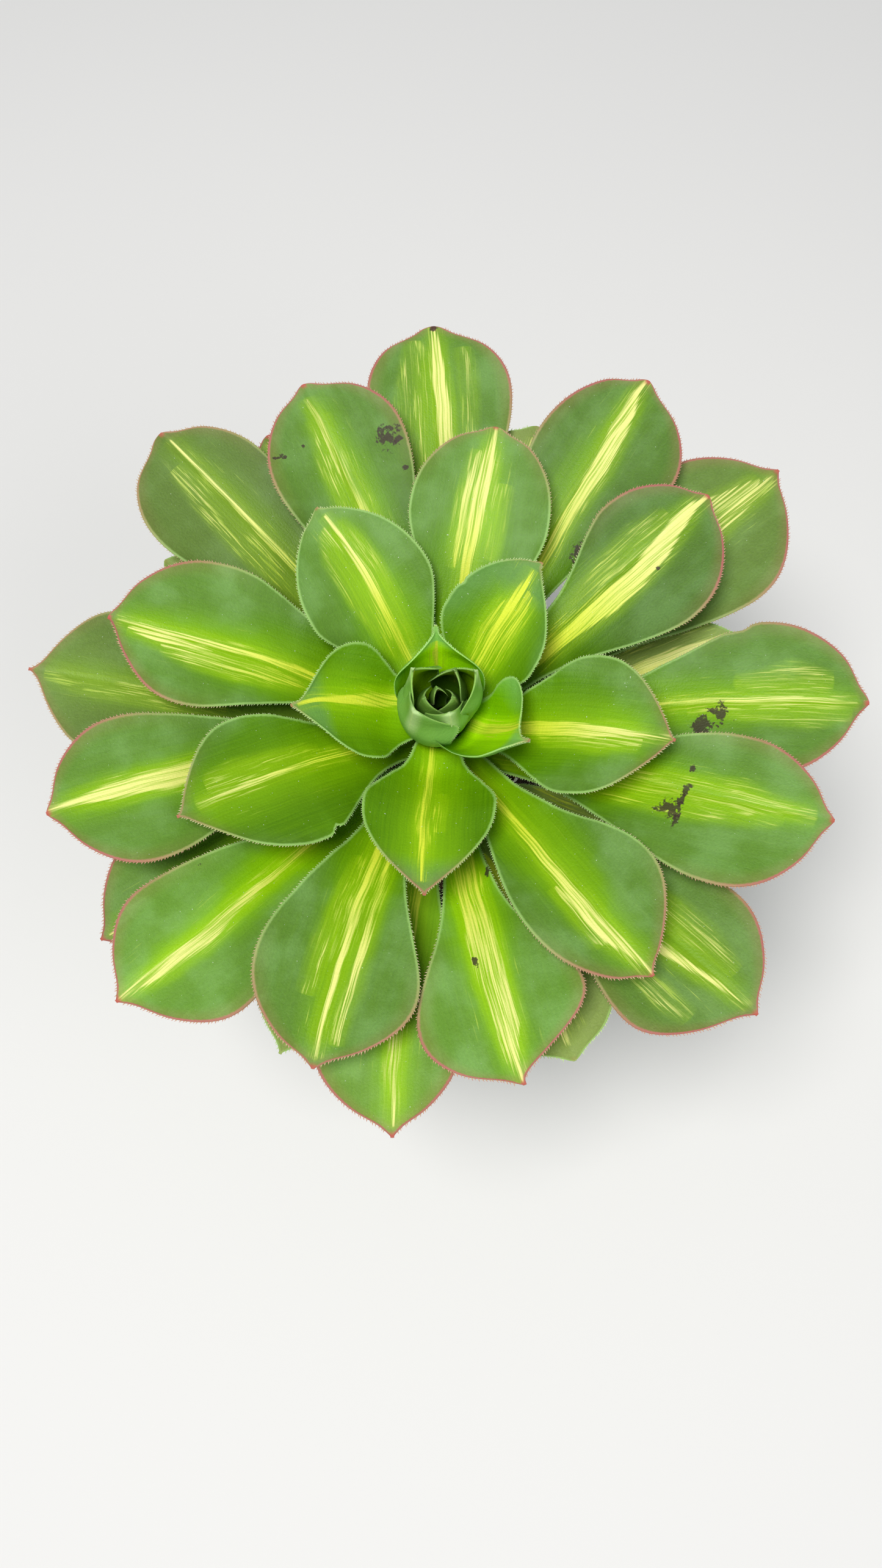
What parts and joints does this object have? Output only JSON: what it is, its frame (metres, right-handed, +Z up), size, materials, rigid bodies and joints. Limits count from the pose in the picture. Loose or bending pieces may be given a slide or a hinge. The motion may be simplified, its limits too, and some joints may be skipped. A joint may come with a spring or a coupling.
{
  "type": "potted aeonium",
  "caption": "Succulent with one broad rosette of spoon-shaped leaves on a short thick stem, growing in a plain tapered plastic nursery pot.",
  "frame": {"origin": "centre of the pot's underside, on the stem's axis", "axes": "+Z up along the stem, +X to the right and -Y towards the viewer of the picture"},
  "size_m": [0.2521, 0.2577, 0.1969],
  "materials": {
    "young_leaf": "satin",
    "leaf": "satin",
    "old_leaf": "matte",
    "stem": "rough",
    "potting_mix": "loose and rough",
    "pot": "satin"
  },
  "bodies": {
    "root": {"leaf_01": "young_leaf", "leaf_02": "young_leaf", "leaf_03": "young_leaf", "leaf_04": "young_leaf", "leaf_05": "young_leaf", "leaf_06": "leaf", "leaf_07": "leaf", "leaf_08": "leaf", "leaf_09": "leaf", "leaf_10": "leaf", "leaf_11": "leaf", "leaf_12": "leaf", "leaf_13": "leaf", "leaf_14": "leaf", "leaf_15": "leaf", "leaf_16": "leaf", "leaf_17": "leaf", "leaf_18": "leaf", "leaf_19": "leaf", "leaf_20": "leaf", "leaf_21": "leaf", "leaf_22": "leaf", "leaf_23": "leaf", "leaf_24": "leaf", "leaf_25": "leaf", "leaf_26": "leaf", "leaf_27": "leaf", "leaf_28": "old_leaf", "leaf_29": "leaf", "leaf_30": "old_leaf", "leaf_31": "old_leaf", "leaf_32": "old_leaf", "leaf_33": "old_leaf", "leaf_34": "old_leaf", "leaf_35": "old_leaf", "leaf_36": "old_leaf", "crown_bud": "young_leaf", "stem": "stem", "potting_mix": "potting_mix", "pot": "pot"}
  },
  "joints": []
}
